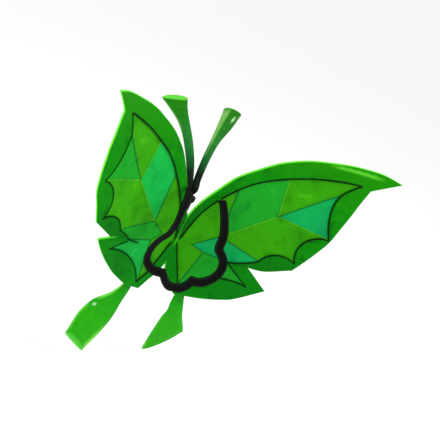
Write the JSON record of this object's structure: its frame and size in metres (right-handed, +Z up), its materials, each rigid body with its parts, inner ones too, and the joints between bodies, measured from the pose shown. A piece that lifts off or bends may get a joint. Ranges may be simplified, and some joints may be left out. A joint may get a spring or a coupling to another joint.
{
  "type": "costume fairy wings",
  "caption": "Green leaf-patterned costume fairy wings: two curved stained-glass style wings hinged on a spine, with flared antennae, tails and a black harness band.",
  "frame": {"origin": "middle of the spine batten's flat back face, level with the waist between the fore and hind wings", "axes": "+X towards the right wing tip, +Y backwards away from the wearer, +Z up along the spine"},
  "size_m": [0.644, 0.2953, 0.5925],
  "materials": {
    "leaf_foam": "satin, mottled paint on moulded foam",
    "green_foam": "satin, airbrushed to near black at the foot",
    "light_green_foam": "satin",
    "pane_lime": "glossy, streaked translucent paint",
    "pane_green": "glossy, streaked translucent paint",
    "pane_emerald": "glossy, streaked translucent paint",
    "pane_teal": "glossy, streaked translucent paint",
    "clear_film": "clear film",
    "vein_paint": "raised satin line",
    "piping_rubber": "satin",
    "black_webbing": "woven, matt",
    "black_plastic": "matt",
    "dark_steel": "black paint, satin",
    "steel": "brushed"
  },
  "bodies": {
    "spine": {"spine_batten": "black_plastic", "hinge_pin": "steel", "antenna_socket": "black_plastic", "left_harness_band": "black_webbing", "right_harness_band": "black_webbing"},
    "left_wing": {"left_fore_frame": "leaf_foam", "left_hind_frame": "leaf_foam", "left_fore_piping": "piping_rubber", "left_hind_piping": "piping_rubber", "left_tip_pane": "pane_lime", "left_trailing_pane": "pane_green", "left_leading_pane": "pane_emerald", "left_outer_pane": "pane_lime", "left_root_pane": "pane_lime", "left_lower_pane": "pane_green", "left_hind_pane": "pane_emerald", "left_hind_root_pane": "pane_lime", "left_fore_film": "clear_film", "left_hind_film": "clear_film", "left_veins": "vein_paint", "left_strap_tab": "leaf_foam", "left_hinge_leaf": "dark_steel", "left_leaf_rivets": "steel", "left_tail_rivet": "steel"},
    "left_tail": {"left_tail": "green_foam", "left_tail_lining": "light_green_foam"},
    "left_antenna": {"left_antenna": "green_foam", "left_antenna_lining": "light_green_foam"},
    "right_wing": {"right_fore_frame": "leaf_foam", "right_hind_frame": "leaf_foam", "right_fore_piping": "piping_rubber", "right_hind_piping": "piping_rubber", "right_tip_pane": "pane_lime", "right_trailing_pane": "pane_teal", "right_leading_pane": "pane_green", "right_outer_pane": "pane_lime", "right_root_pane": "pane_lime", "right_lower_pane": "pane_teal", "right_hind_pane": "pane_green", "right_hind_root_pane": "pane_lime", "right_fore_film": "clear_film", "right_hind_film": "clear_film", "right_veins": "vein_paint", "right_strap_tab": "leaf_foam", "right_hinge_leaf": "dark_steel", "right_leaf_rivets": "steel", "right_tail_rivet": "steel"},
    "right_tail": {"right_tail": "green_foam", "right_tail_lining": "light_green_foam"},
    "right_antenna": {"right_antenna": "green_foam", "right_antenna_lining": "light_green_foam"}
  },
  "joints": [
    {"name": "right_wing_hinge", "type": "hinge", "parent": "spine", "child": "right_wing", "pos_m": [0, -0.009, 0], "axis": [0, 0, 1], "range_deg": [0, 60]},
    {"name": "left_wing_hinge", "type": "hinge", "parent": "spine", "child": "left_wing", "pos_m": [0, -0.009, 0], "axis": [0, 0, -1], "range_deg": [0, 60]},
    {"name": "right_tail_pivot", "type": "hinge", "parent": "right_wing", "child": "right_tail", "pos_m": [0.06398, -0.0338, -0.121], "axis": [0.2846, 0.9586, 0], "range_deg": [-20, 20]},
    {"name": "left_tail_pivot", "type": "hinge", "parent": "left_wing", "child": "left_tail", "pos_m": [-0.06398, -0.0338, -0.121], "axis": [-0.2846, 0.9586, 0], "range_deg": [-20, 20]},
    {"name": "right_antenna_tilt", "type": "hinge", "parent": "spine", "child": "right_antenna", "pos_m": [0.0052, 0.0075, 0.062], "axis": [1, 0, 0], "range_deg": [-8, 8]},
    {"name": "left_antenna_tilt", "type": "hinge", "parent": "spine", "child": "left_antenna", "pos_m": [-0.0052, 0.0075, 0.062], "axis": [1, 0, 0], "range_deg": [-8, 8]}
  ]
}
